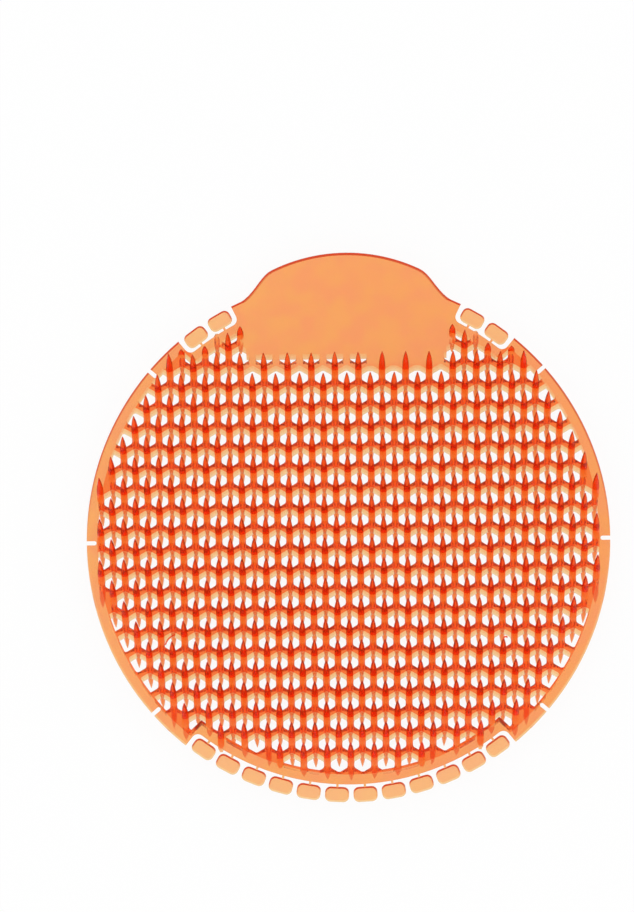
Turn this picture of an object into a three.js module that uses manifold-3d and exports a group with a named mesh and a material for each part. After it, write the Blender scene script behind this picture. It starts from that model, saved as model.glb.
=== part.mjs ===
// Drain screen: a round honeycomb mat of soft plastic with a tab, moulded in one piece.
// Slanted spikes stand on both faces. Millimetres, +Z up, +Y towards the tab.
// The middle of the web is z = 0 and the disc's centre is the origin until the last lines.
import * as THREE from 'three';
import { mergeVertices } from 'three/addons/utils/BufferGeometryUtils.js';
import Module from 'manifold-3d';

const wasm = await Module();
wasm.setup();

// Disc and rim
const discDiameter = 178;
const webThickness = 2;
const rimWidth = 3.7;
const rimFacets = 36;

// Honeycomb: regular hexagons with a point up, measured in the middle of the web
const cellPitch = 8;
const openingWidth = 5.7;
const smallestKeptShare = 0.5;
const wholeShare = 0.9;

// Spikes, in line with the slanted walls of the openings
const slant = THREE.MathUtils.degToRad(42);
const spikeReach = 8;
const undersideRowStep = 6;

// Slits that let the rim flex, by their angle from +X
const slitAngles = [0, 41, 139, 180, 221, 319];
const slitWidth = 1.4;
const slitDepth = 3.4;

// Pads on thin necks, in recesses of the rim
const padLength = 8.2;
const padWidth = 5.2;
const padGap = 1.2;
const neckWidth = 0.8;
const recessDepth = 6.1;
const recessEndGap = 1.4;
const recessEndSlope = 0.6;
const recessRimWidth = 3.4;
const padGroups = [
  { middle: 57, count: 2 },
  { middle: 123, count: 2 },
  { middle: 270, count: 12 },
];

// Tab: a crown on an S-shaped flare, and the edge where it meets the honeycomb
const tabRise = 8.9;
const crownRadius = 58;
const crownWidth = 50;
const crownSteps = 4;
const flareWidth = 75.9;
const flareSteps = 3;
const tabDepth = 26.4;
const tabLowStretch = { fromX: 7.2, toX: 31, drop: 4.2 };

// Points closer than this are one point
const weldDistance = 1e-3;

const discRadius = discDiameter / 2;
const recessRadius = discRadius - recessDepth;
const rowPitch = cellPitch * Math.sqrt(3) / 2;
const openingRadius = openingWidth / Math.sqrt(3);
const wallWidth = cellPitch - openingWidth;
const slope = Math.tan(slant);
const spikeHeight = spikeReach / slope - webThickness / 2;
const padStep = (padLength + padGap) / (discRadius - padWidth);

// Joins points that nearly meet and drops the triangles that this closes
function weld(geometry, distance) {
  const merged = mergeVertices(geometry, distance);
  const index = merged.index.array;
  const kept = [];
  for (let i = 0; i < index.length; i += 3) {
    const [a, b, c] = index.slice(i, i + 3);
    if (a !== b && b !== c && c !== a) {
      kept.push(a, b, c);
    }
  }
  return merged.setIndex(kept);
}

function toSolid(geometry) {
  const bare = geometry.clone();
  bare.deleteAttribute('normal');
  bare.deleteAttribute('uv');
  const welded = weld(bare, weldDistance / 100);
  return new wasm.Manifold(new wasm.Mesh({
    numProp: 3,
    vertProperties: new Float32Array(welded.attributes.position.array),
    triVerts: new Uint32Array(welded.index.array),
  }));
}

function toGeometry(solid) {
  const mesh = solid.getMesh();
  const geometry = new THREE.BufferGeometry();
  geometry.setAttribute('position', new THREE.BufferAttribute(mesh.vertProperties, 3));
  geometry.setIndex(new THREE.BufferAttribute(mesh.triVerts, 1));
  return weld(geometry, weldDistance);
}

// A plate of the given outline, centred on z = 0
function plate(points, thickness) {
  const geometry = new THREE.ExtrudeGeometry(new THREE.Shape(points), {
    depth: thickness,
    bevelEnabled: false,
  });
  return geometry.translate(0, 0, -thickness / 2);
}

// Leans a geometry towards the tab by the spikes' slant, about the middle of the web
function lean(geometry) {
  return geometry.applyMatrix4(new THREE.Matrix4().makeShear(0, 0, 0, 0, 0, slope));
}

function polar(radius, angle) {
  return new THREE.Vector2(radius * Math.cos(angle), radius * Math.sin(angle));
}

// Points of an arc about the disc's centre, ends included
function rimArc(radius, from, to) {
  const steps = Math.max(1, Math.round(Math.abs(to - from) / (2 * Math.PI) * rimFacets));
  const points = [];
  for (let i = 0; i <= steps; i += 1) {
    points.push(polar(radius, THREE.MathUtils.lerp(from, to, i / steps)));
  }
  return points;
}

// A recess of the rim with its row of pads, as the outline runs past them
function recess({ middle, count }) {
  const centre = THREE.MathUtils.degToRad(middle);
  const rowHalf = (count - 1) / 2 * padStep + padLength / 2 / discRadius;
  const floorHalf = rowHalf + recessEndGap / discRadius;
  const mouthHalf = floorHalf + recessEndSlope / discRadius;
  const points = [polar(discRadius, centre - mouthHalf), polar(recessRadius, centre - floorHalf)];
  const padBack = discRadius - padWidth;
  for (let i = 0; i < count; i += 1) {
    const angle = centre + (i - (count - 1) / 2) * padStep;
    const place = (radius, along) => {
      points.push(polar(radius, angle).add(polar(along, angle + Math.PI / 2)));
    };
    place(recessRadius, -neckWidth / 2);
    place(padBack, -neckWidth / 2);
    place(padBack, -padLength / 2);
    place(discRadius, -padLength / 2);
    place(discRadius, padLength / 2);
    place(padBack, padLength / 2);
    place(padBack, neckWidth / 2);
    place(recessRadius, neckWidth / 2);
  }
  points.push(polar(recessRadius, centre + floorHalf), polar(discRadius, centre + mouthHalf));
  return { from: centre - mouthHalf, to: centre + mouthHalf, points };
}

// A slit runs in from the rim to a flat end
function slit(angleInDegrees) {
  const angle = THREE.MathUtils.degToRad(angleInDegrees);
  const half = Math.asin(slitWidth / 2 / discRadius);
  const side = polar(slitWidth / 2, angle + Math.PI / 2);
  const bottom = polar(discRadius - slitDepth, angle);
  const points = [
    polar(discRadius, angle - half),
    bottom.clone().sub(side),
    bottom.clone().add(side),
    polar(discRadius, angle + half),
  ];
  return { from: angle - half, to: angle + half, points };
}

// The tab's edge from its right root over the crown to its left root
function tabEdge() {
  const root = new THREE.Vector2(flareWidth / 2, Math.sqrt(discRadius ** 2 - (flareWidth / 2) ** 2));
  const crownCentre = new THREE.Vector2(0, discRadius + tabRise - crownRadius);
  const crownHalf = Math.asin(crownWidth / 2 / crownRadius);
  const crown = [];
  for (let i = 0; i <= crownSteps; i += 1) {
    const turn = THREE.MathUtils.lerp(-crownHalf, crownHalf, i / crownSteps);
    crown.push(polar(crownRadius, Math.PI / 2 + turn).add(crownCentre));
  }
  const middle = crown[0].clone().lerp(root, 0.5);
  const bend = (crown[0].y - root.y) / 3;
  const flare = new THREE.CubicBezierCurve(
    root,
    new THREE.Vector2(middle.x, root.y + bend / 2),
    new THREE.Vector2(middle.x - bend / 2, crown[0].y - bend / 2),
    crown[0],
  ).getPoints(flareSteps).slice(0, -1);
  const mirrored = flare.map((point) => new THREE.Vector2(-point.x, point.y)).reverse();
  const from = Math.atan2(root.y, root.x);
  return { from, to: Math.PI - from, points: [...flare, ...crown, ...mirrored] };
}

// Joins features round the disc with arcs of the given radius
function ring(features, radius) {
  const sorted = [...features].sort((a, b) => a.from - b.from);
  return sorted.flatMap((feature, i) => {
    const next = sorted[i + 1] ?? { from: sorted[0].from + 2 * Math.PI };
    return [...feature.points, ...rimArc(radius, feature.to, next.from).slice(1, -1)];
  });
}

function outline() {
  return ring([...slitAngles.map(slit), ...padGroups.map(recess), tabEdge()], discRadius);
}

// The field that the openings may fill: inside the rim and the recesses, clear of the tab
function openField() {
  const inner = padGroups.map(recess).map(({ from, to }) => {
    return { from, to, points: rimArc(recessRadius - recessRimWidth, from, to) };
  });
  const tabLowerEdge = discRadius - tabDepth;
  const lowEdge = tabLowerEdge - tabLowStretch.drop;
  const tabHalf = Math.min(...padGroups.map(recess).map(({ from, to }) => {
    return Math.min(Math.abs(polar(discRadius, from).x), Math.abs(polar(discRadius, to).x));
  }));
  const tabCover = [
    new THREE.Vector2(-tabHalf, discRadius),
    new THREE.Vector2(-tabHalf, tabLowerEdge),
    new THREE.Vector2(tabLowStretch.fromX, tabLowerEdge),
    new THREE.Vector2(tabLowStretch.fromX, lowEdge),
    new THREE.Vector2(tabLowStretch.toX, lowEdge),
    new THREE.Vector2(tabLowStretch.toX, tabLowerEdge),
    new THREE.Vector2(tabHalf, tabLowerEdge),
    new THREE.Vector2(tabHalf, discRadius),
  ];
  const field = toSolid(lean(plate(ring(inner, discRadius - rimWidth), webThickness)));
  return field.subtract(toSolid(lean(plate(tabCover, webThickness))));
}

function hexagon(x, y) {
  const points = [];
  for (let i = 0; i < 6; i += 1) {
    points.push(polar(openingRadius, Math.PI / 6 + i * Math.PI / 3).add(new THREE.Vector2(x, y)));
  }
  return points;
}

// The openings that keep enough of their size inside the field, the least cut ones left whole
function openings() {
  const field = openField();
  const rows = Math.ceil(discRadius / rowPitch);
  const columns = Math.ceil(discRadius / cellPitch);
  const kept = [];
  for (let row = -rows; row <= rows; row += 1) {
    for (let column = -columns; column <= columns; column += 1) {
      const x = (column + Math.abs(row % 2) / 2) * cellPitch;
      const y = row * rowPitch;
      const hole = toSolid(lean(plate(hexagon(x, y), webThickness)));
      const cut = hole.intersect(field);
      const share = cut.volume() / hole.volume();
      const whole = share > wholeShare;
      if (share > smallestKeptShare) {
        kept.push({ row, x, y, whole, solid: whole ? hole : cut });
      }
    }
  }
  return kept;
}

// The upright walls between two whole openings of a row, each by its middle
function walls(cells) {
  const whole = cells.filter((cell) => cell.whole);
  const isOpen = (row, x) => whole.some((cell) => cell.row === row && Math.abs(cell.x - x) < wallWidth);
  return whole
    .filter(({ row, x }) => isOpen(row, x + cellPitch))
    .map(({ row, x, y }) => ({ row, x: x + cellPitch / 2, y }));
}

// A spike is a leaning pyramid on the flat between two openings
function spike(x, y, face) {
  const cone = new THREE.ConeGeometry(Math.SQRT1_2, spikeHeight, 4);
  cone.rotateY(Math.PI / 4);
  cone.rotateX(Math.PI / 2);
  cone.scale(wallWidth, openingRadius, 1);
  cone.translate(0, 0, (webThickness + spikeHeight) / 2);
  if (face < 0) {
    cone.rotateY(Math.PI);
  }
  return toSolid(lean(cone).translate(x, y, 0));
}

function screenSolid() {
  const cells = openings();
  const spikes = walls(cells).flatMap(({ row, x, y }) => {
    const hasUnderside = row % undersideRowStep === 0;
    return hasUnderside ? [spike(x, y, 1), spike(x, y, -1)] : [spike(x, y, 1)];
  });
  const openWeb = toSolid(plate(outline(), webThickness))
    .subtract(wasm.Manifold.union(cells.map((cell) => cell.solid)));
  return openWeb.add(wasm.Manifold.union(spikes));
}

const softPlastic = new THREE.MeshStandardMaterial({ color: 0xf26b2b, roughness: 0.35, metalness: 0 });
const screen = new THREE.Mesh(toGeometry(screenSolid()), softPlastic);
screen.name = 'screen';

// The part lies on its underside spikes, with the middle of its outline over the origin
screen.geometry.computeBoundingBox();
const box = screen.geometry.boundingBox;
const group = new THREE.Group();
group.position.set(-(box.min.x + box.max.x) / 2, -(box.min.y + box.max.y) / 2, -box.min.z);
group.add(screen);

export default group;
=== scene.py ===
import math
import random

import bmesh
import bpy
from mathutils import Matrix, Vector


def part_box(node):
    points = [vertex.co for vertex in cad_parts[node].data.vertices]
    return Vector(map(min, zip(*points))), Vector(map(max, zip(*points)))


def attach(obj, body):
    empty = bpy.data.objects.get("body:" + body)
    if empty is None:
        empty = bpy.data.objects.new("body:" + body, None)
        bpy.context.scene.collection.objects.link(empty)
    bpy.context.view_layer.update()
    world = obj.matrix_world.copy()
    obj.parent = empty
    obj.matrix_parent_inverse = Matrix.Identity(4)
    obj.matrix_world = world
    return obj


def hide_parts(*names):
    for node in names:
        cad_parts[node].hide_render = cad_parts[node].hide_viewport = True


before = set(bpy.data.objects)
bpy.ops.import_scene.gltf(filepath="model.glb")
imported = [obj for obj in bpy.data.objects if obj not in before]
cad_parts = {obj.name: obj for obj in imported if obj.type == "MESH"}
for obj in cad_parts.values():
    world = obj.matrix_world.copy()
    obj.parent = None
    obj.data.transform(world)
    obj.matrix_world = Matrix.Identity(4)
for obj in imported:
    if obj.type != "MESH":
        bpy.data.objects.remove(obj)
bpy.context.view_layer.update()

# The view: straight down on the mat, as the photograph looks at it, with the tab at the top.
# The mat lies turned a little in the picture, and its disc sits right of and below the middle.
MM = 0.001
MM_PER_PIXEL = 0.34
PICTURE = (634, 912)
DISC_CENTRE_PIXEL = (348.5, 540.5)
MAT_TURN = math.radians(0.63)
CAMERA_HEIGHT = 1200 * MM
SENSOR_WIDTH = 36
DISC_RADIUS = 89 * MM
LOW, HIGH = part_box("screen")
DISC_CENTRE = Vector((0, LOW[1] + DISC_RADIUS, 0))
WEB_MIDDLE = (LOW[2] + HIGH[2]) / 2

camera_data = bpy.data.cameras.new("camera")
camera = bpy.data.objects.new("camera", camera_data)
bpy.context.collection.objects.link(camera)
bpy.context.scene.camera = camera
camera.location = (DISC_CENTRE.x, DISC_CENTRE.y, WEB_MIDDLE + CAMERA_HEIGHT)
camera.rotation_euler = (0, 0, -MAT_TURN)
camera_data.sensor_width = SENSOR_WIDTH
camera_data.lens = SENSOR_WIDTH * CAMERA_HEIGHT / (PICTURE[1] * MM_PER_PIXEL * MM)
camera_data.shift_x = (PICTURE[0] / 2 - DISC_CENTRE_PIXEL[0]) / PICTURE[1]
camera_data.shift_y = (DISC_CENTRE_PIXEL[1] - PICTURE[1] / 2) / PICTURE[1]
bpy.context.scene.view_settings.view_transform = "Standard"

# Plate: the disc that everything stands on, moulded in soft clear plastic 2 mm thick.
# Its rim is rounded by the mould. The slits and recesses are cut from it further down.
WEB_THICKNESS = 2 * MM
EDGE_ROUNDING = 0.7 * MM
RIM_SEGMENTS = 180


def as_mesh(name, bm):
    mesh = bpy.data.meshes.new(name)
    bm.to_mesh(mesh)
    bm.free()
    return mesh


def new_piece(name, bm):
    bmesh.ops.recalc_face_normals(bm, faces=bm.faces)
    piece = bpy.data.objects.new(name, as_mesh(name, bm))
    bpy.context.collection.objects.link(piece)
    return piece


def thicken(bm, depth):
    grown = bmesh.ops.extrude_face_region(bm, geom=bm.faces[:])
    moved = [v for v in grown["geom"] if isinstance(v, bmesh.types.BMVert)]
    bmesh.ops.translate(bm, verts=moved, vec=(0, 0, depth))
    bmesh.ops.translate(bm, verts=bm.verts, vec=(0, 0, -depth / 2))


def round_rims(bm, offset, segments):
    level = [e for e in bm.edges if abs(e.verts[0].co.z - e.verts[1].co.z) < 1e-7]
    bmesh.ops.bevel(
        bm, geom=level, offset=offset, affect="EDGES", segments=segments, profile=0.5, material=-1
    )


def combine(piece, tool, operation):
    step = piece.modifiers.new(operation, "BOOLEAN")
    step.object = tool
    step.operation = operation
    step.solver = "MANIFOLD"
    seen = piece.evaluated_get(bpy.context.evaluated_depsgraph_get())
    merged = bpy.data.meshes.new_from_object(seen)
    piece.modifiers.clear()
    piece.data = merged
    bpy.data.objects.remove(tool)


bm = bmesh.new()
bmesh.ops.create_circle(bm, cap_ends=True, segments=RIM_SEGMENTS, radius=DISC_RADIUS)
thicken(bm, WEB_THICKNESS)
round_rims(bm, EDGE_ROUNDING, 3)
screen = new_piece("screen_moulding", bm)

# Tab: the pull at the top, part of the same moulding and as thick as the plate.
# A crown on two S-shaped flares that run out on the rim.
TAB_RISE = 8.9 * MM
CROWN_RADIUS = 58 * MM
CROWN_WIDTH = 50 * MM
FLARE_WIDTH = 75.9 * MM
TAB_ROOT_DEPTH = 20 * MM
TAB_ROUNDING = 0.98 * MM
CROWN_STEPS = 24
FLARE_STEPS = 10

root = Vector((FLARE_WIDTH / 2, math.sqrt(DISC_RADIUS**2 - (FLARE_WIDTH / 2) ** 2), 0))
crown_centre = DISC_RADIUS + TAB_RISE - CROWN_RADIUS
crown_half = math.asin(CROWN_WIDTH / 2 / CROWN_RADIUS)
crown = []
for i in range(CROWN_STEPS + 1):
    turn = crown_half * (1 - 2 * i / CROWN_STEPS)
    height = crown_centre + CROWN_RADIUS * math.cos(turn)
    crown.append(Vector((CROWN_RADIUS * math.sin(turn), height, 0)))
bend = (crown[0].y - root.y) / 3
middle = (crown[0] + root) / 2
flare = []
for i in range(FLARE_STEPS):
    t = i / FLARE_STEPS
    first = Vector((middle.x, root.y + bend / 2, 0))
    second = Vector((middle.x - bend / 2, crown[0].y - bend / 2, 0))
    weights = ((1 - t) ** 3, 3 * t * (1 - t) ** 2, 3 * t * t * (1 - t), t**3)
    flare.append(sum((w * p for w, p in zip(weights, (root, first, second, crown[0]))), Vector()))
mirrored = [Vector((-p.x, p.y, 0)) for p in reversed(flare)]
foot = [Vector((-root.x, root.y - TAB_ROOT_DEPTH, 0)), Vector((root.x, root.y - TAB_ROOT_DEPTH, 0))]

bm = bmesh.new()
bm.faces.new([bm.verts.new(p) for p in flare + crown + mirrored + foot])
thicken(bm, WEB_THICKNESS)
round_rims(bm, TAB_ROUNDING, 4)
combine(screen, new_piece("tab", bm), "UNION")

# Slits: six narrow cuts in the rim, which let the mat bend into the bowl.
# They are moulded with a round end.
SLIT_ANGLES = (0, 41, 139, 180, 221, 319)
SLIT_WIDTH = 1.4 * MM
SLIT_DEPTH = 3.4 * MM
CUTTER_HEIGHT = 3 * WEB_THICKNESS

bm = bmesh.new()
for angle in SLIT_ANGLES:
    slot = bmesh.new()
    bmesh.ops.create_circle(slot, cap_ends=True, segments=16, radius=SLIT_WIDTH / 2)
    thicken(slot, CUTTER_HEIGHT)
    outer = [v for v in slot.verts if v.co.x > 1e-6]
    bmesh.ops.translate(slot, verts=outer, vec=(2 * SLIT_DEPTH, 0, 0))
    place = Matrix.Rotation(math.radians(angle), 4, "Z")
    place @= Matrix.Translation((DISC_RADIUS - SLIT_DEPTH + SLIT_WIDTH / 2, 0, 0))
    bmesh.ops.transform(slot, matrix=place, verts=slot.verts)
    bm.from_mesh(as_mesh("slit", slot))
combine(screen, new_piece("slits", bm), "DIFFERENCE")

# Recesses and pads: rows of small rounded pads that stand on thin necks in recesses of the rim.
# They are the same moulding, thinner than the plate and with well rounded edges.
PAD_LENGTH = 8.2 * MM
PAD_WIDTH = 5.2 * MM
PAD_GAP = 1.2 * MM
PAD_CORNER = 1.9 * MM
PAD_ROUNDING = 0.6 * MM
PAD_THICKNESS = 1.4 * MM
# Share of painted light on the pads.
PAD_PAINTED_LIGHT = 0.35
NECK_WIDTH = 0.8 * MM
NECK_HEIGHT = PAD_THICKNESS * 0.7
NECK_OVERLAP = 1 * MM
RECESS_DEPTH = 6.1 * MM
RECESS_END_GAP = 1.7 * MM
RECESS_RIM = 3.4 * MM
PAD_GROUPS = ((57, 2), (123, 2), (270, 12))
PAD_STEP = (PAD_LENGTH + PAD_GAP) / (DISC_RADIUS - PAD_WIDTH)
RECESS_RADIUS = DISC_RADIUS - RECESS_DEPTH
RECESS_CORNER = 2.2 * MM
RECESS_OVERSHOOT = 5 * MM
NARROW = 1 * MM


def recess_half(count):
    return (count - 1) / 2 * PAD_STEP + (PAD_LENGTH / 2 + RECESS_END_GAP) / DISC_RADIUS


def sector(inner, outer, middle, half, height):
    bm = bmesh.new()
    corners = ((inner, -height / 2), (outer, -height / 2), (outer, height / 2), (inner, height / 2))
    bm.faces.new([bm.verts.new((x, 0, z)) for x, z in corners])
    bmesh.ops.rotate(bm, verts=bm.verts, matrix=Matrix.Rotation(middle - half, 3, "Z"))
    steps = max(4, round(half / math.pi * RIM_SEGMENTS))
    bmesh.ops.spin(
        bm,
        geom=bm.faces[:],
        cent=(0, 0, 0),
        axis=(0, 0, 1),
        angle=2 * half,
        steps=steps,
        use_duplicate=False,
    )
    return bm


for middle_angle, count in PAD_GROUPS:
    middle = math.radians(middle_angle)
    half = recess_half(count)
    bm = sector(RECESS_RADIUS, DISC_RADIUS + RECESS_OVERSHOOT, middle, half, CUTTER_HEIGHT)
    upright = [
        e
        for e in bm.edges
        if abs(e.verts[0].co.z - e.verts[1].co.z) > WEB_THICKNESS
        and e.verts[0].co.xy.length < RECESS_RADIUS + NARROW
        and len(e.link_faces) == 2
        and e.calc_face_angle(0) > 1
    ]
    bmesh.ops.bevel(
        bm, geom=upright, offset=RECESS_CORNER, affect="EDGES", segments=5, profile=0.5, material=-1
    )
    combine(screen, new_piece("recess", bm), "DIFFERENCE")

pads = bmesh.new()
necks = bmesh.new()
for middle_angle, count in PAD_GROUPS:
    for i in range(count):
        turn = math.radians(middle_angle) + (i - (count - 1) / 2) * PAD_STEP
        one = bmesh.new()
        bmesh.ops.create_cube(one, size=1)
        bmesh.ops.scale(one, verts=one.verts, vec=(PAD_WIDTH, PAD_LENGTH, PAD_THICKNESS))
        upright = [e for e in one.edges if abs(e.verts[0].co.z - e.verts[1].co.z) > PAD_THICKNESS / 2]
        bmesh.ops.bevel(
            one, geom=upright, offset=PAD_CORNER, affect="EDGES", segments=4, profile=0.5, material=-1
        )
        round_rims(one, PAD_ROUNDING, 3)
        bmesh.ops.translate(one, verts=one.verts, vec=(DISC_RADIUS - PAD_WIDTH / 2, 0, 0))
        bmesh.ops.rotate(one, verts=one.verts, matrix=Matrix.Rotation(turn, 3, "Z"))
        pads.from_mesh(as_mesh("pad", one))
        one = bmesh.new()
        bmesh.ops.create_cube(one, size=1)
        reach = RECESS_DEPTH - PAD_WIDTH + 2 * NECK_OVERLAP
        bmesh.ops.scale(one, verts=one.verts, vec=(reach, NECK_WIDTH, NECK_HEIGHT))
        bmesh.ops.translate(one, verts=one.verts, vec=(RECESS_RADIUS - NECK_OVERLAP + reach / 2, 0, 0))
        bmesh.ops.rotate(one, verts=one.verts, matrix=Matrix.Rotation(turn, 3, "Z"))
        necks.from_mesh(as_mesh("neck", one))
combine(screen, new_piece("pads", pads), "UNION")
combine(screen, new_piece("necks", necks), "UNION")

# Openings: regular hexagons with a point up, through which the water drains. The mould's pins
# lean with the spikes, so the walls slant. The mouths are rounded, and the rim cuts the outer ones.
CELL_PITCH = 8 * MM
ROW_PITCH = CELL_PITCH * math.sqrt(3) / 2
OPENING_WIDTH = 5.7 * MM
OPENING_CORNER = 0.5 * MM
MOUTH_ROUNDING = 0.2 * MM
RIM_WIDTH = 3.7 * MM
SLOPE = math.tan(math.radians(42))
TAB_DEPTH = 26.4 * MM
TAB_HALF_WIDTH = 34 * MM
TAB_LOW_STRETCH = (7.2 * MM, 31 * MM, 4.2 * MM)
COVER_LENGTH = 60 * MM
COVER_HEIGHT = 4.2 * WEB_THICKNESS
SMALLEST_KEPT = 0.3
TOP_ROW = 10
MOST_STEPS = 24
SAMPLE_STEPS = 6
FIELD_STEPS = 720
PIN_OVERSHOOT = 1 * MM
LEAN = Matrix(((1, 0, 0, 0), (0, 1, SLOPE, 0), (0, 0, 1, 0), (0, 0, 0, 1)))


def grow(bm, levels):
    # Raises the one face of bm through levels of height and size, to a closed body
    height, size = 0.0, 1.0
    end = bm.faces[:]
    for i, (new_height, new_size) in enumerate(levels):
        moved = bm.verts[:]
        if i > 0:
            grown = bmesh.ops.extrude_face_region(bm, geom=end)["geom"]
            if i > 1:
                bmesh.ops.delete(bm, geom=end, context="FACES_ONLY")
            moved = [v for v in grown if isinstance(v, bmesh.types.BMVert)]
            end = [f for f in grown if isinstance(f, bmesh.types.BMFace)]
        bmesh.ops.scale(bm, verts=moved, vec=(new_size / size, new_size / size, 1))
        bmesh.ops.translate(bm, verts=moved, vec=(0, 0, new_height - height))
        height, size = new_height, new_size


bm = bmesh.new()
bmesh.ops.create_circle(bm, cap_ends=True, segments=6, radius=OPENING_WIDTH / math.sqrt(3))
bmesh.ops.bevel(
    bm, geom=bm.verts[:], offset=OPENING_CORNER, affect="VERTICES", segments=2, profile=0.5, material=-1
)
half_web = WEB_THICKNESS / 2
wide = 1 + MOUTH_ROUNDING / OPENING_WIDTH * 2
flared = 1 + MOUTH_ROUNDING / OPENING_WIDTH * 0.7
knee = MOUTH_ROUNDING * 0.4
levels = (
    (-half_web - PIN_OVERSHOOT, wide),
    (-half_web, wide),
    (-half_web + knee, flared),
    (-half_web + MOUTH_ROUNDING, 1),
    (half_web - MOUTH_ROUNDING, 1),
    (half_web - knee, flared),
    (half_web, wide),
    (half_web + PIN_OVERSHOOT, wide),
)
grow(bm, levels)
bmesh.ops.recalc_face_normals(bm, faces=bm.faces)
bmesh.ops.transform(bm, matrix=LEAN, verts=bm.verts)
opening = as_mesh("opening", bm)


def field_edge(angle):
    for middle_angle, count in PAD_GROUPS:
        away = (angle - math.radians(middle_angle) + math.pi) % (2 * math.pi) - math.pi
        if abs(away) < recess_half(count) + NARROW / DISC_RADIUS:
            return RECESS_RADIUS - RECESS_RIM
    return DISC_RADIUS - RIM_WIDTH


def inside_field(x, y):
    if y > DISC_RADIUS - TAB_DEPTH and abs(x) < TAB_HALF_WIDTH:
        return False
    low_from, low_to, low_drop = TAB_LOW_STRETCH
    if y > DISC_RADIUS - TAB_DEPTH - low_drop and low_from < x < low_to:
        return False
    return math.hypot(x, y) < field_edge(math.atan2(y, x))


def share_open(x, y):
    steps = range(-SAMPLE_STEPS, SAMPLE_STEPS + 1)
    samples = [
        (i / SAMPLE_STEPS, j / SAMPLE_STEPS) for i in steps for j in steps if math.hypot(i, j) <= SAMPLE_STEPS
    ]
    reach = OPENING_WIDTH / 2
    hits = sum(inside_field(x + i * reach, y + j * reach) for i, j in samples)
    return hits / len(samples)


cells = {}
rows = math.ceil(DISC_RADIUS / ROW_PITCH)
for row in range(-rows, rows + 1):
    for step in range(-MOST_STEPS, MOST_STEPS + 1):
        if (step + row) % 2 == 0:
            x, y = step * CELL_PITCH / 2, row * ROW_PITCH
            if row <= TOP_ROW and share_open(x, y) > SMALLEST_KEPT:
                cells[(step, row)] = (x, y)

bm = bmesh.new()
for x, y in cells.values():
    before = len(bm.verts)
    bm.from_mesh(opening)
    bm.verts.ensure_lookup_table()
    bmesh.ops.translate(bm, verts=bm.verts[before:], vec=(x, y, 0))
openings = new_piece("openings", bm)

bm = bmesh.new()
edge = []
for i in range(FIELD_STEPS):
    angle = i / FIELD_STEPS * 2 * math.pi
    radius = field_edge(angle)
    edge.append(bm.verts.new((radius * math.cos(angle), radius * math.sin(angle), 0)))
bm.faces.new(edge)
thicken(bm, CUTTER_HEIGHT + WEB_THICKNESS)
bmesh.ops.transform(bm, matrix=LEAN, verts=bm.verts)
combine(openings, new_piece("field", bm), "INTERSECT")

for low_x, high_x, low_y in (
    (-TAB_HALF_WIDTH, TAB_HALF_WIDTH, DISC_RADIUS - TAB_DEPTH),
    (TAB_LOW_STRETCH[0], TAB_LOW_STRETCH[1], DISC_RADIUS - TAB_DEPTH - TAB_LOW_STRETCH[2]),
):
    bm = bmesh.new()
    bmesh.ops.create_cube(bm, size=1)
    bmesh.ops.scale(bm, verts=bm.verts, vec=(high_x - low_x, COVER_LENGTH, COVER_HEIGHT))
    bmesh.ops.translate(bm, verts=bm.verts, vec=((low_x + high_x) / 2, low_y + COVER_LENGTH / 2, 0))
    bmesh.ops.transform(bm, matrix=LEAN, verts=bm.verts)
    combine(openings, new_piece("tab_cover", bm), "DIFFERENCE")
combine(screen, openings, "DIFFERENCE")

# Spikes: slanted pegs on the upright walls of the honeycomb, tips to the tab, which break the jet.
# Like pegs on the underside point the other way. They keep their width and end in a short taper.
# The two rows beneath the tab stay bare, apart from a short stub at each end of it.
SPIKE_REACH = 8 * MM
SPIKE_HALF_WIDTH = 1.2 * MM
SPIKE_HALF_DEPTH = 1.65 * MM
ROOT_SPREAD = 1.45
UNDER_SPIKE_SIZE = 0.85
SPIKE_STAGES = ((0.0, 1.0), (0.55, 0.96), (0.78, 0.63), (0.95, 0.27), (1.0, 0.15))
TIP_WANDER = 0.12 * MM
SPIKE_SIDES = 8
SPIKE_RING = DISC_RADIUS - 3 * MM
TIP_RING = DISC_RADIUS - 1.5 * MM
SHORTEST_SPIKE = 0.3
ROOM_STEP = 0.25 * MM
BARE_HALF_WIDTHS = {9: 35 * MM, 10: 37 * MM}
STUB_PLACE = (36 * MM, 68.4 * MM)
STUB_SIZE = 0.55

spike_height = SPIKE_REACH / SLOPE
wander = random.Random(7)


def spike(x, y, side, size=1.0):
    bm = bmesh.new()
    bmesh.ops.create_circle(bm, cap_ends=True, segments=SPIKE_SIDES, radius=1)
    bmesh.ops.rotate(bm, verts=bm.verts, matrix=Matrix.Rotation(math.pi / SPIKE_SIDES, 3, "Z"))
    bmesh.ops.scale(bm, verts=bm.verts, vec=(SPIKE_HALF_WIDTH, SPIKE_HALF_DEPTH, 1))
    grow(bm, [(share * spike_height, scale) for share, scale in SPIKE_STAGES])
    root_ring = [v for v in bm.verts if v.co.z < 1e-6]
    bmesh.ops.scale(bm, verts=root_ring, vec=(1, ROOT_SPREAD, 1))
    bmesh.ops.transform(bm, matrix=LEAN, verts=bm.verts)
    shift = Vector((wander.uniform(-1, 1), wander.uniform(-1, 1), 0)) * TIP_WANDER
    for v in bm.verts:
        v.co += shift * (v.co.z / spike_height) ** 2
    bmesh.ops.scale(bm, verts=bm.verts, vec=(1, size, size))
    if side < 0:
        bmesh.ops.scale(bm, verts=bm.verts, vec=(UNDER_SPIKE_SIZE, 1, 1))
        bmesh.ops.scale(bm, verts=root_ring, vec=(1, 1 / ROOT_SPREAD, 1))
        bmesh.ops.rotate(bm, verts=bm.verts, matrix=Matrix.Rotation(math.pi, 3, "X"))
    bmesh.ops.translate(bm, verts=bm.verts, vec=(x, y, 0))
    bmesh.ops.recalc_face_normals(bm, faces=bm.faces)
    return as_mesh("spike", bm)


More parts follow.
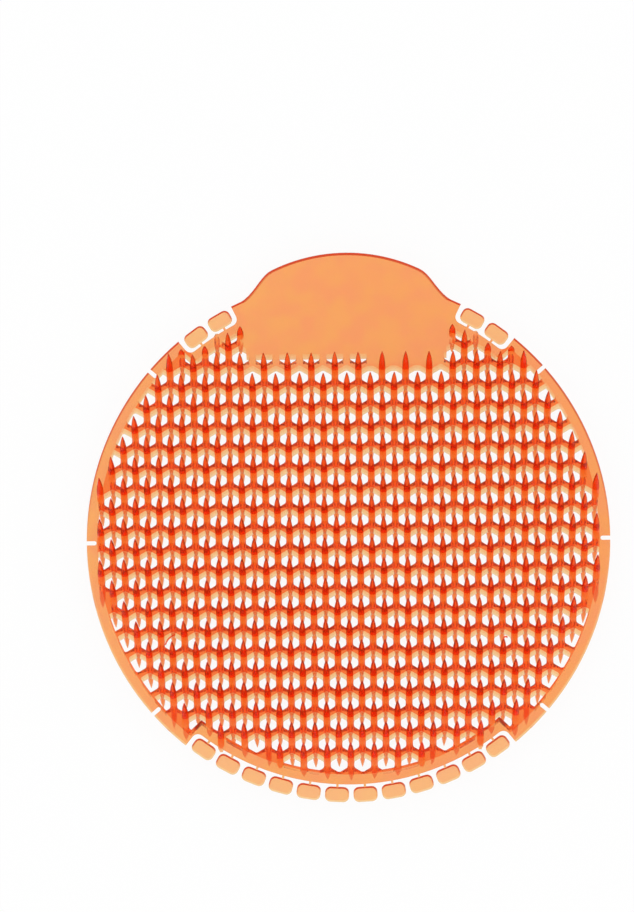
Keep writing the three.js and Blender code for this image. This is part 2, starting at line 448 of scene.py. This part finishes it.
def spike_room(x, y, side):
    # The share of its full size at which the spike's tip stays over the plate
    reach = SPIKE_REACH
    while reach > 0:
        tip = y + side * reach
        limit = TIP_RING
        if field_edge(math.atan2(tip, x)) < DISC_RADIUS - RIM_WIDTH:
            limit = RECESS_RADIUS - NARROW
        if math.hypot(x, tip) < limit:
            break
        reach -= ROOM_STEP
    return reach / SPIKE_REACH


walls = set()
for step, row in cells:
    walls.update(((step - 1, row), (step + 1, row)))
for side in (1, -1):
    bm = bmesh.new()
    for step, row in sorted(walls):
        x, y = step * CELL_PITCH / 2, row * ROW_PITCH
        under_tab = abs(x) < BARE_HALF_WIDTHS.get(row, 0)
        size = spike_room(x, y, side)
        if math.hypot(x, y) > SPIKE_RING or under_tab or size < SHORTEST_SPIKE:
            continue
        bm.from_mesh(spike(x, y, side, size))
    for flip in (-1, 1):
        bm.from_mesh(spike(flip * STUB_PLACE[0], STUB_PLACE[1], side, STUB_SIZE))
    combine(screen, new_piece("spikes", bm), "UNION")

# Threads: two hairs of plastic drawn out as the mould opened. One lies across an opening left of
# the middle, the other is a hook on the tip of a spike right of it.
# Each has its start, the centre of its curl, and its turn in degrees.
THREAD_RADIUS = 0.3 * MM
THREADS = (
    (Vector((-62.6 * MM, -34.8 * MM, 1.1 * MM)), Vector((-57.7 * MM, -36.2 * MM, 1.1 * MM)), 57),
    (Vector((52 * MM, -33.7 * MM, 8.5 * MM)), Vector((52.7 * MM, -33.7 * MM, 8.5 * MM)), 150),
)

bm = bmesh.new()
for start, centre, turn in THREADS:
    one = bmesh.new()
    bmesh.ops.create_circle(one, cap_ends=True, segments=6, radius=THREAD_RADIUS)
    bmesh.ops.rotate(one, verts=one.verts, matrix=Matrix.Rotation(math.pi / 2, 3, "X"))
    arm = start - centre
    heading = math.atan2(-arm.x, arm.y) - math.pi / 2
    bmesh.ops.rotate(one, verts=one.verts, matrix=Matrix.Rotation(heading, 3, "Z"))
    bmesh.ops.translate(one, verts=one.verts, vec=start)
    bmesh.ops.spin(
        one,
        geom=one.faces[:],
        cent=centre,
        axis=(0, 0, 1),
        angle=-math.radians(turn),
        steps=12,
        use_duplicate=False,
    )
    bmesh.ops.recalc_face_normals(one, faces=one.faces)
    bm.from_mesh(as_mesh("thread", one))
combine(screen, new_piece("threads", bm), "UNION")

# Edges: the mould's faces lean with the spikes. An edge turned to the tab gets painted shade, a dark
# line, and one turned away gets painted light, a pale tint. Each face keeps its share as an attribute.
SHADE_STEEPNESS = 5
FLAT = 0.99
OVERHANG = -0.05
FACE_SLACK = 0.01 * MM
SHARP_ANGLE = math.radians(35)

bm = bmesh.new()
bm.from_mesh(screen.data)
shade = bm.faces.layers.float.new("shade")
for face in bm.faces:
    middle = face.calc_center_median()
    if abs(middle.z) > WEB_THICKNESS / 2 + FACE_SLACK:
        continue
    in_recess = middle.xy.length > RECESS_RADIUS + NARROW / 2
    in_recess = in_recess and field_edge(math.atan2(middle.y, middle.x)) < DISC_RADIUS - RIM_WIDTH
    if abs(face.normal.z) < FLAT and (face.normal.z > OVERHANG or face.normal.y < 0):
        face[shade] = max(-1.0, min(1.0, SHADE_STEEPNESS * face.normal.y))
    # Pads in the recesses get a share of painted light.
    elif in_recess:
        face[shade] = -PAD_PAINTED_LIGHT
bmesh.ops.translate(bm, verts=bm.verts, vec=(DISC_CENTRE.x, DISC_CENTRE.y, WEB_MIDDLE))
bm.to_mesh(screen.data)
bm.free()
screen.data.shade_smooth()
screen.data.set_sharp_from_angle(angle=SHARP_ANGLE)

# Clear orange EVA, injection moulded: a gel-like plastic that lets light through. Thin stretches
# look light orange, thick ones a deep red. The base tint goes a little deeper from left to right,
# and faint clouds show where the melt cooled. Over it, light and shade are painted by place: painted
# shade makes the web's top and the spikes a deep orange and the edges turned to the tab dark, and
# painted light makes the web's underside, the pads and the edges turned away pale.
GEL_IOR = 1.25
GEL_ROUGHNESS = 0.12
GEL_CLEAR_SHARE = 0.88
GEL_ABSORPTION = "FFC92F"
GEL_DENSITY = 450
LEFT_TINT = "FFCF94"
RIGHT_TINT = "FFC488"
# Painted shade: the web's top a deep orange.
WEB_TOP_PAINTED_SHADE = "FF6A2C"
# Painted shade on the spikes: a deep orange on top, a lighter one beneath.
TOP_SPIKE_PAINTED_SHADE = "FF7030"
UNDER_SPIKE_PAINTED_SHADE = "FFAA66"
# Painted shade on edges turned to the tab; painted light on edges turned away, the web's underside and the
# pads.
EDGE_PAINTED_SHADE = "C82408"
PALE_PAINTED_LIGHT = "FFECC4"
CLOUD_TINT = "FFB69C"
CLOUD_SIZE = 9 * MM
CLOUD_SHARE = 0.25
CLOUD_DEPTH = 0.45
CLOUD_RANGE = (0.38, 0.62)
WAVE_STRENGTH = 0.04
WAVE_HEIGHT = 0.2 * MM
RECESS_STEEPNESS = 0.772
TAB_ZONE_WIDTH = 36 * MM
TAB_ZONE_FADE = (56 * MM, 61 * MM)
FACE_HEIGHT = 0.4 * WEB_THICKNESS
TINT_FADE = (0.5 * WEB_THICKNESS, 0.8 * WEB_THICKNESS)
MATH = "ShaderNodeMath"
MIX = "ShaderNodeMixRGB"
RANGE = "ShaderNodeMapRange"


def colour(code):
    channels = [int(code[i : i + 2], 16) / 255 for i in (0, 2, 4)]
    linear = [c / 12.92 if c <= 0.04045 else ((c + 0.055) / 1.055) ** 2.4 for c in channels]
    return (*linear, 1)


def add(tree, kind, settings=None, inputs=None):
    # An input takes a value, a socket, or a node whose first output is meant
    node = tree.nodes.new(kind)
    for name, value in (settings or {}).items():
        setattr(node, name, value)
    for name, value in (inputs or {}).items():
        if isinstance(value, bpy.types.Node):
            value = value.outputs[0]
        if isinstance(value, bpy.types.NodeSocket):
            tree.links.new(value, node.inputs[name])
        else:
            node.inputs[name].default_value = value
    return node


gel = bpy.data.materials.new("moulded_clear_eva")
gel.use_nodes = True
tree = gel.node_tree
tree.nodes.clear()
place = add(tree, "ShaderNodeTexCoord").outputs["Object"]
centred = add(
    tree,
    "ShaderNodeMapping",
    {"vector_type": "POINT"},
    {"Vector": place, "Location": (0, -DISC_CENTRE.y, -WEB_MIDDLE)},
)
x_way, y_way, z_way = add(tree, "ShaderNodeSeparateXYZ", None, {0: centred}).outputs
clouds = add(tree, "ShaderNodeTexNoise", None, {"Vector": centred, "Scale": 1 / CLOUD_SIZE, "Detail": 3.0})

across = add(tree, MATH, {"operation": "DIVIDE"}, {0: x_way, 1: 2 * DISC_RADIUS})
across = add(tree, MATH, {"operation": "ADD"}, {0: across, 1: 0.5})
swing = add(tree, MATH, {"operation": "SUBTRACT"}, {0: clouds, 1: 0.5})
swing = add(tree, MATH, {"operation": "MULTIPLY"}, {0: swing, 1: CLOUD_SHARE})
across = add(tree, MATH, {"operation": "ADD"}, {0: across, 1: swing})
tone_and_painted_light = add(tree, MIX, None, {"Fac": across, "Color1": colour(LEFT_TINT), "Color2": colour(RIGHT_TINT)})
drift = add(
    tree,
    RANGE,
    None,
    {"Value": clouds, "From Min": CLOUD_RANGE[0], "From Max": CLOUD_RANGE[1], "To Max": CLOUD_DEPTH},
)
tone_and_painted_light = add(tree, MIX, None, {"Fac": drift, "Color1": tone_and_painted_light, "Color2": colour(CLOUD_TINT)})

flat = add(tree, "ShaderNodeCombineXYZ", None, {0: x_way, 1: y_way})
reach = add(tree, "ShaderNodeVectorMath", {"operation": "LENGTH"}, {0: flat}).outputs["Value"]
steep = add(tree, MATH, {"operation": "MULTIPLY"}, {0: reach, 1: RECESS_STEEPNESS})
in_arc = add(tree, MATH, {"operation": "ABSOLUTE"}, {0: y_way})
in_arc = add(tree, MATH, {"operation": "GREATER_THAN"}, {0: in_arc, 1: steep})
recess_loss = DISC_RADIUS - RIM_WIDTH - RECESS_RADIUS + RECESS_RIM
loss = add(tree, MATH, {"operation": "MULTIPLY"}, {0: in_arc, 1: recess_loss})
limit = add(tree, MATH, {"operation": "SUBTRACT"}, {0: DISC_RADIUS - RIM_WIDTH, 1: loss})
in_ring = add(tree, MATH, {"operation": "LESS_THAN"}, {0: reach, 1: limit})
by_tab = add(tree, MATH, {"operation": "ABSOLUTE"}, {0: x_way})
by_tab = add(tree, MATH, {"operation": "LESS_THAN"}, {0: by_tab, 1: TAB_ZONE_WIDTH})
up_tab = add(
    tree, RANGE, None, {"Value": y_way, "From Min": TAB_ZONE_FADE[0], "From Max": TAB_ZONE_FADE[1]}
)
by_tab = add(tree, MATH, {"operation": "MULTIPLY"}, {0: by_tab, 1: up_tab})
off_tab = add(tree, MATH, {"operation": "SUBTRACT"}, {0: 1, 1: by_tab})
in_web = add(tree, MATH, {"operation": "MULTIPLY"}, {0: in_ring, 1: off_tab})
# Painted shade on the web's top and painted light on its underside.
for code, compare, level in (
    (WEB_TOP_PAINTED_SHADE, "GREATER_THAN", FACE_HEIGHT),
    (PALE_PAINTED_LIGHT, "LESS_THAN", -FACE_HEIGHT),
):
    share = add(tree, MATH, {"operation": compare}, {0: z_way, 1: level})
    share = add(tree, MATH, {"operation": "MULTIPLY"}, {0: in_web, 1: share})
    tone_and_painted_light = add(tree, MIX, None, {"Fac": share, "Color1": tone_and_painted_light, "Color2": colour(code)})

# Painted shade on the spikes, from the web's face outwards, less deep beneath.
for code, way in ((TOP_SPIKE_PAINTED_SHADE, 1), (UNDER_SPIKE_PAINTED_SHADE, -1)):
    height = add(tree, MATH, {"operation": "MULTIPLY"}, {0: z_way, 1: way})
    share = add(tree, RANGE, None, {"Value": height, "From Min": TINT_FADE[0], "From Max": TINT_FADE[1]})
    tone_and_painted_light = add(tree, MIX, None, {"Fac": share, "Color1": tone_and_painted_light, "Color2": colour(code)})

# Painted shade and light on the edges and pads: a face's "shade" above zero mixes in the dark edge colour,
# below zero the pale one.
side = add(tree, "ShaderNodeAttribute", {"attribute_name": "shade"}).outputs["Fac"]
for code, way in ((EDGE_PAINTED_SHADE, 1), (PALE_PAINTED_LIGHT, -1)):
    share = add(tree, MATH, {"operation": "MULTIPLY"}, {0: side, 1: way})
    share = add(tree, MATH, {"operation": "MAXIMUM"}, {0: share, 1: 0})
    tone_and_painted_light = add(tree, MIX, None, {"Fac": share, "Color1": tone_and_painted_light, "Color2": colour(code)})
waves = add(
    tree, "ShaderNodeBump", None, {"Height": clouds, "Strength": WAVE_STRENGTH, "Distance": WAVE_HEIGHT}
)
surface = add(
    tree,
    "ShaderNodeBsdfPrincipled",
    None,
    {
        "Base Color": tone_and_painted_light,
        "Roughness": GEL_ROUGHNESS,
        "IOR": GEL_IOR,
        "Transmission Weight": GEL_CLEAR_SHARE,
        "Normal": waves,
    },
)
inside = add(
    tree, "ShaderNodeVolumeAbsorption", None, {"Color": colour(GEL_ABSORPTION), "Density": GEL_DENSITY}
)
add(tree, "ShaderNodeOutputMaterial", None, {"Surface": surface, "Volume": inside})
screen.data.materials.clear()
screen.data.materials.append(gel)
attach(screen, "root")
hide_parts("screen")

# Floor and light: a matt white board under the mat, lit softly from all round.
# It stays white in the camera's view and through the clear plastic, and keeps the mat's shadow.
FLOOR_SIZE = 3.0
FLOOR_GLOW = 0.92
FLOOR_COLOUR = "FAFAFA"
WHITE = "FFFFFF"

bm = bmesh.new()
bmesh.ops.create_grid(bm, x_segments=1, y_segments=1, size=FLOOR_SIZE)
floor = new_piece("floor", bm)
white = bpy.data.materials.new("white_floor")
white.use_nodes = True
tree = white.node_tree
tree.nodes.clear()
rays = add(tree, "ShaderNodeLightPath").outputs
seen = add(
    tree, MATH, {"operation": "MAXIMUM"}, {0: rays["Is Camera Ray"], 1: rays["Is Transmission Ray"]}
)
seen = add(tree, MATH, {"operation": "MAXIMUM"}, {0: seen, 1: rays["Is Glossy Ray"]})
share = add(tree, MATH, {"operation": "MULTIPLY"}, {0: seen, 1: FLOOR_GLOW})
matt = add(tree, "ShaderNodeBsdfDiffuse", None, {"Color": colour(FLOOR_COLOUR)})
glow = add(tree, "ShaderNodeEmission", None, {"Color": colour(WHITE), "Strength": 1.0})
mixed = add(tree, "ShaderNodeMixShader", None, {0: share, 1: matt, 2: glow})
add(tree, "ShaderNodeOutputMaterial", None, {"Surface": mixed})
floor.data.materials.append(white)

world = bpy.data.worlds.new("white_room")
world.use_nodes = True
bpy.context.scene.world = world
sky = world.node_tree.nodes["Background"]
sky.inputs["Color"].default_value = colour(WHITE)
sky.inputs["Strength"].default_value = 1.0
